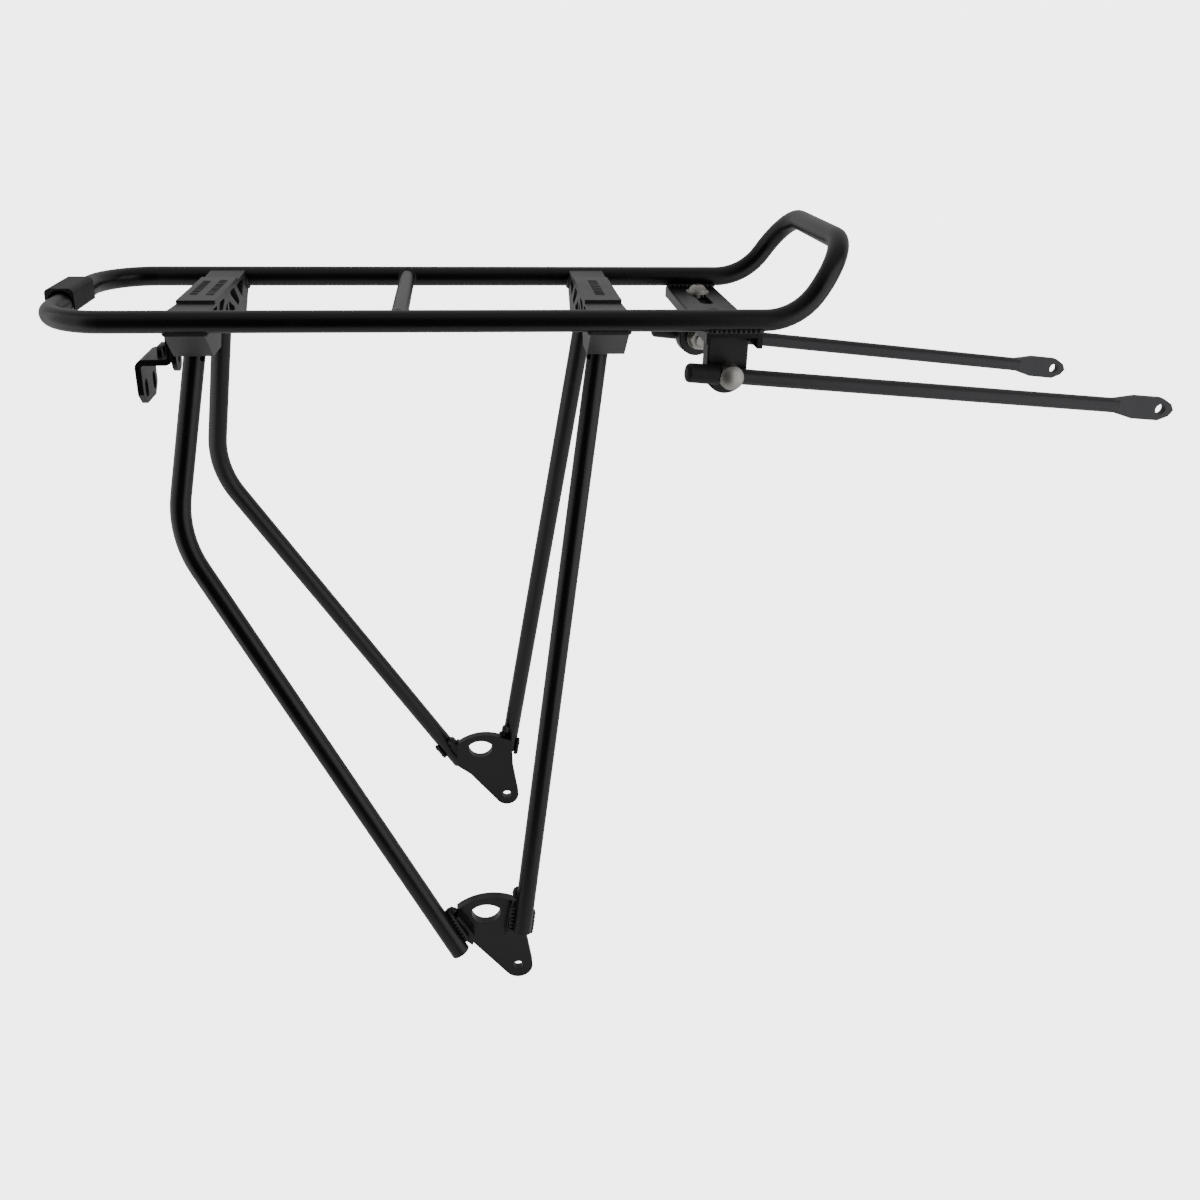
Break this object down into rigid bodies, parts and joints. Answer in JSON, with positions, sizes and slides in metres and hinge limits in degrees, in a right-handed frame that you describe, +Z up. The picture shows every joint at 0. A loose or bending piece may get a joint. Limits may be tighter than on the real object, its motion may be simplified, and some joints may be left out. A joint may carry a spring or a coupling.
{
  "type": "bicycle rear rack",
  "caption": "Rear luggage rack for a bicycle: tube loop with a raised front hoop, cross bridges, splayed legs to dropout plates and adjustable front stays.",
  "frame": {"origin": "on the common axis of the two dropout eyelets, halfway between them", "axes": "+X forward towards the saddle, +Y the bicycle's left along the eyelet axis, +Z up"},
  "size_m": [0.5565, 0.1978, 0.3968],
  "materials": {
    "black_coat": "satin black powder coat",
    "bridge_coat": "satin black coat on extruded bridges, a shade greyer on the flat faces",
    "sleeve": "fine matt moulded cover",
    "block_coat": "semi-matt black coat",
    "stay_coat": "satin slate grey coat",
    "cap_plastic": "matt black end cap",
    "stainless": "tumbled stainless steel",
    "dark_steel": "blackened steel"
  },
  "bodies": {
    "frame": {"top_loop": "black_coat", "middle_bar": "black_coat", "loop_sleeve": "sleeve", "front_bridge": "bridge_coat", "rear_bridge": "bridge_coat", "tail_light_bracket": "black_coat", "bracket_screws": "dark_steel", "stay_channel": "black_coat", "right_front_leg": "black_coat", "right_rear_leg": "black_coat", "right_dropout_plate": "black_coat", "left_front_leg": "black_coat", "left_rear_leg": "black_coat", "left_dropout_plate": "black_coat"},
    "right_clamp": {"right_clamp_screw": "stainless", "right_clamp_washer": "stainless"},
    "right_block": {"right_stay_block": "block_coat"},
    "right_eye": {"right_eye_bolt": "stainless", "right_eye_washer": "stainless", "right_eye_nut": "stainless"},
    "right_stay": {"right_stay_rod": "stay_coat", "right_stay_cap": "cap_plastic"},
    "left_clamp": {"left_clamp_screw": "stainless", "left_clamp_washer": "stainless"},
    "left_block": {"left_stay_block": "block_coat"},
    "left_eye": {"left_eye_bolt": "stainless", "left_eye_washer": "stainless", "left_eye_nut": "stainless"},
    "left_stay": {"left_stay_rod": "stay_coat", "left_stay_cap": "cap_plastic"}
  },
  "joints": [
    {"name": "right_clamp_slide", "type": "slide", "parent": "frame", "child": "right_clamp", "axis": [0, -1, 0], "range_m": [-0.027, 0.003]},
    {"name": "right_block_swivel", "type": "hinge", "parent": "right_clamp", "child": "right_block", "pos_m": [0.1024, -0.0415, 0.34], "axis": [0, 0, 1], "range_deg": [-11.6, 4.4]},
    {"name": "right_stay_tilt", "type": "hinge", "parent": "right_block", "child": "right_eye", "pos_m": [0.103, -0.05098, 0.3226], "axis": [-0.0628, 0.998, 0], "range_deg": [-25, 14]},
    {"name": "right_stay_slide", "type": "slide", "parent": "right_eye", "child": "right_stay", "axis": [0.9933, 0.0625, -0.0976], "range_m": [-0.025, 0]},
    {"name": "left_clamp_slide", "type": "slide", "parent": "frame", "child": "left_clamp", "axis": [0, 1, 0], "range_m": [-0.0215, 0.0085]},
    {"name": "left_block_swivel", "type": "hinge", "parent": "left_clamp", "child": "left_block", "pos_m": [0.1024, 0.036, 0.34], "axis": [0, 0, 1], "range_deg": [-14.8, 1.2]},
    {"name": "left_stay_tilt", "type": "hinge", "parent": "left_block", "child": "left_eye", "pos_m": [0.10128, 0.04543, 0.3226], "axis": [-0.1184, 0.993, 0], "range_deg": [-25, 14]},
    {"name": "left_stay_slide", "type": "slide", "parent": "left_eye", "child": "left_stay", "axis": [0.9854, 0.1175, -0.1236], "range_m": [-0.025, 0]}
  ]
}
